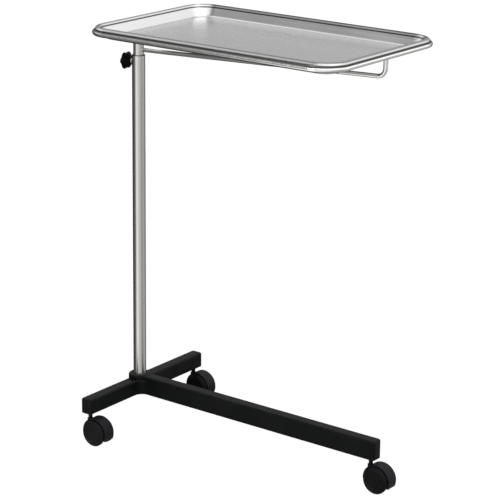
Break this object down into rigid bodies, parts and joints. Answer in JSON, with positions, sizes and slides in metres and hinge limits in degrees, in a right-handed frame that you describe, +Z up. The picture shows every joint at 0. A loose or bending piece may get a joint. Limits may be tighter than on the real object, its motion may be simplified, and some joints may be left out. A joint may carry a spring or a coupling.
{
  "type": "mayo instrument stand",
  "caption": "Height-adjustable instrument stand: a rimmed steel tray in a rod ring on a telescopic mast, over a T-shaped base on swivel casters.",
  "frame": {"origin": "middle of the footprint's box, on the floor under the wheels", "axes": "+Z up; +X from the mast along the long leg and the tray; +Y across, towards the longer cross leg"},
  "size_m": [0.6273, 0.362, 0.813],
  "materials": {
    "base_black": "satin black powder coat",
    "satin_steel": "satin stainless",
    "plain_steel": "turned",
    "zinc_steel": "zinc plated",
    "bush_black": "moulded",
    "nylon_white": "moulded",
    "knob_black": "moulded",
    "polished_steel": "polished stainless",
    "tray_steel": "brushed stainless",
    "stem_black": "black plated",
    "caster_black": "moulded",
    "wheel_black": "moulded nylon"
  },
  "bodies": {
    "base": {"base_casting": "base_black", "mast_tube": "satin_steel", "mast_foot_plug": "plain_steel", "mast_bolt": "zinc_steel", "mast_washer": "zinc_steel", "mast_top_bush": "bush_black", "clamp_nut": "satin_steel", "caster_toe_socket": "zinc_steel", "caster_left_socket": "zinc_steel", "caster_right_socket": "zinc_steel"},
    "height_guide": {"inner_guide_ring": "nylon_white"},
    "tray_frame": {"inner_tube": "satin_steel", "inner_tube_cap": "plain_steel", "inner_tube_plug": "plain_steel", "tray_ring": "polished_steel", "brace_rod": "polished_steel"},
    "tray": {"tray": "tray_steel"},
    "clamp_pad": {"clamp_tip": "nylon_white"},
    "clamp_knob": {"clamp_knob": "knob_black", "clamp_screw": "zinc_steel"},
    "caster_toe": {"caster_toe_stem": "stem_black", "caster_toe_grip_ring": "zinc_steel", "caster_toe_hood": "caster_black", "caster_toe_axle": "zinc_steel"},
    "caster_toe_wheel_a": {"caster_toe_wheel_a": "wheel_black", "caster_toe_cover_a": "caster_black"},
    "caster_toe_wheel_b": {"caster_toe_wheel_b": "wheel_black", "caster_toe_cover_b": "caster_black"},
    "caster_left": {"caster_left_stem": "stem_black", "caster_left_grip_ring": "zinc_steel", "caster_left_hood": "caster_black", "caster_left_axle": "zinc_steel"},
    "caster_left_wheel_a": {"caster_left_wheel_a": "wheel_black", "caster_left_cover_a": "caster_black"},
    "caster_left_wheel_b": {"caster_left_wheel_b": "wheel_black", "caster_left_cover_b": "caster_black"},
    "caster_right": {"caster_right_stem": "stem_black", "caster_right_grip_ring": "zinc_steel", "caster_right_hood": "caster_black", "caster_right_axle": "zinc_steel"},
    "caster_right_wheel_a": {"caster_right_wheel_a": "wheel_black", "caster_right_cover_a": "caster_black"},
    "caster_right_wheel_b": {"caster_right_wheel_b": "wheel_black", "caster_right_cover_b": "caster_black"}
  },
  "joints": [
    {"name": "mast_height", "type": "slide", "parent": "base", "child": "height_guide", "axis": [0, 0, 1], "range_m": [0, 0.43]},
    {"name": "tray_swing", "type": "hinge", "parent": "height_guide", "child": "tray_frame", "pos_m": [-0.28065, -0.00752, 0.75], "axis": [0, 0, 1], "continuous": true},
    {"name": "tray_lift_off", "type": "slide", "parent": "tray_frame", "child": "tray", "axis": [0, 0, 1], "range_m": [0, 0.1]},
    {"name": "clamp_travel", "type": "slide", "parent": "base", "child": "clamp_pad", "axis": [-1, 0, 0], "range_m": [0, 0.0015]},
    {"name": "clamp_turn", "type": "hinge", "parent": "clamp_pad", "child": "clamp_knob", "pos_m": [-0.28065, -0.00752, 0.719], "axis": [-1, 0, 0], "range_deg": [0, 540]},
    {"name": "caster_toe_swivel", "type": "hinge", "parent": "base", "child": "caster_toe", "pos_m": [0.26535, -0.00752, 0.07], "axis": [0, 0, 1], "continuous": true},
    {"name": "caster_toe_wheel_a_roll", "type": "hinge", "parent": "caster_toe", "child": "caster_toe_wheel_a", "pos_m": [0.28485, -0.00752, 0.0254], "axis": [0, 1, 0], "continuous": true},
    {"name": "caster_toe_wheel_b_roll", "type": "hinge", "parent": "caster_toe", "child": "caster_toe_wheel_b", "pos_m": [0.28485, -0.00752, 0.0254], "axis": [0, 1, 0], "continuous": true},
    {"name": "caster_left_swivel", "type": "hinge", "parent": "base", "child": "caster_left", "pos_m": [-0.28065, 0.16248, 0.07], "axis": [0, 0, 1], "continuous": true},
    {"name": "caster_left_wheel_a_roll", "type": "hinge", "parent": "caster_left", "child": "caster_left_wheel_a", "pos_m": [-0.26115, 0.16248, 0.0254], "axis": [0, 1, 0], "continuous": true},
    {"name": "caster_left_wheel_b_roll", "type": "hinge", "parent": "caster_left", "child": "caster_left_wheel_b", "pos_m": [-0.26115, 0.16248, 0.0254], "axis": [0, 1, 0], "continuous": true},
    {"name": "caster_right_swivel", "type": "hinge", "parent": "base", "child": "caster_right", "pos_m": [-0.28065, -0.15552, 0.07], "axis": [0, 0, 1], "continuous": true},
    {"name": "caster_right_wheel_a_roll", "type": "hinge", "parent": "caster_right", "child": "caster_right_wheel_a", "pos_m": [-0.26115, -0.15552, 0.0254], "axis": [0, 1, 0], "continuous": true},
    {"name": "caster_right_wheel_b_roll", "type": "hinge", "parent": "caster_right", "child": "caster_right_wheel_b", "pos_m": [-0.26115, -0.15552, 0.0254], "axis": [0, 1, 0], "continuous": true}
  ],
  "couplings": [
    {"joint": "clamp_turn", "follows": "clamp_travel", "rad_per_m": 6283.2}
  ]
}
